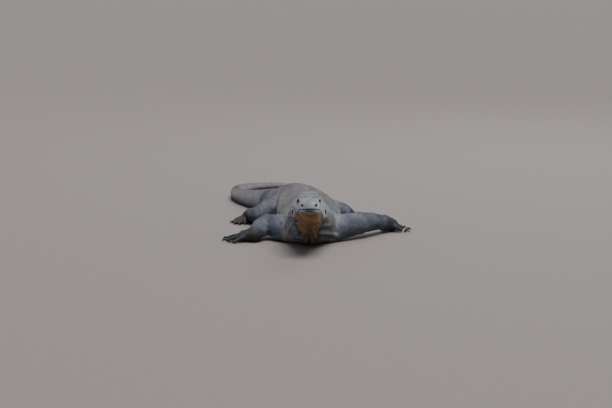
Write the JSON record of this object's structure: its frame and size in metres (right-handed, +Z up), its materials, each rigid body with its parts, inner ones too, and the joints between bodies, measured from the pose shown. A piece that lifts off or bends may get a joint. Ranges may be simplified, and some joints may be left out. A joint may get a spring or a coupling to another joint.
{
  "type": "komodo dragon",
  "caption": "Life-size still model of a komodo dragon lying on its belly, head raised, forelegs spread and tail curled round behind.",
  "frame": {"origin": "on the floor, under the middle of the animal's outline seen from above", "axes": "the head faces -Y, +X is the animal's own left side, +Z is up"},
  "size_m": [0.8194, 2.1244, 0.2423],
  "materials": {
    "skin": "matt dusty scaled hide",
    "claw": "satin dark horn",
    "eye": "wet, nearly black eye"
  },
  "bodies": {
    "root": {"belly": "skin", "chest": "skin", "eye_left": "eye", "eye_right": "eye", "fore_left_claw_five": "claw", "fore_left_claw_four": "claw", "fore_left_claw_one": "claw", "fore_left_claw_three": "claw", "fore_left_claw_two": "claw", "fore_left_foot": "skin", "fore_left_lower": "skin", "fore_left_upper": "skin", "fore_right_claw_five": "claw", "fore_right_claw_four": "claw", "fore_right_claw_one": "claw", "fore_right_claw_three": "claw", "fore_right_claw_two": "claw", "fore_right_foot": "skin", "fore_right_lower": "skin", "fore_right_upper": "skin", "head": "skin", "hind_left_claw_five": "claw", "hind_left_claw_four": "claw", "hind_left_claw_one": "claw", "hind_left_claw_three": "claw", "hind_left_claw_two": "claw", "hind_left_foot": "skin", "hind_left_lower": "skin", "hind_left_upper": "skin", "hind_right_claw_five": "claw", "hind_right_claw_four": "claw", "hind_right_claw_one": "claw", "hind_right_claw_three": "claw", "hind_right_claw_two": "claw", "hind_right_foot": "skin", "hind_right_lower": "skin", "hind_right_upper": "skin", "hips": "skin", "lower_jaw": "skin", "neck": "skin", "tail_base": "skin", "tail_bend": "skin", "tail_near": "skin", "tail_tip": "skin"}
  },
  "joints": []
}
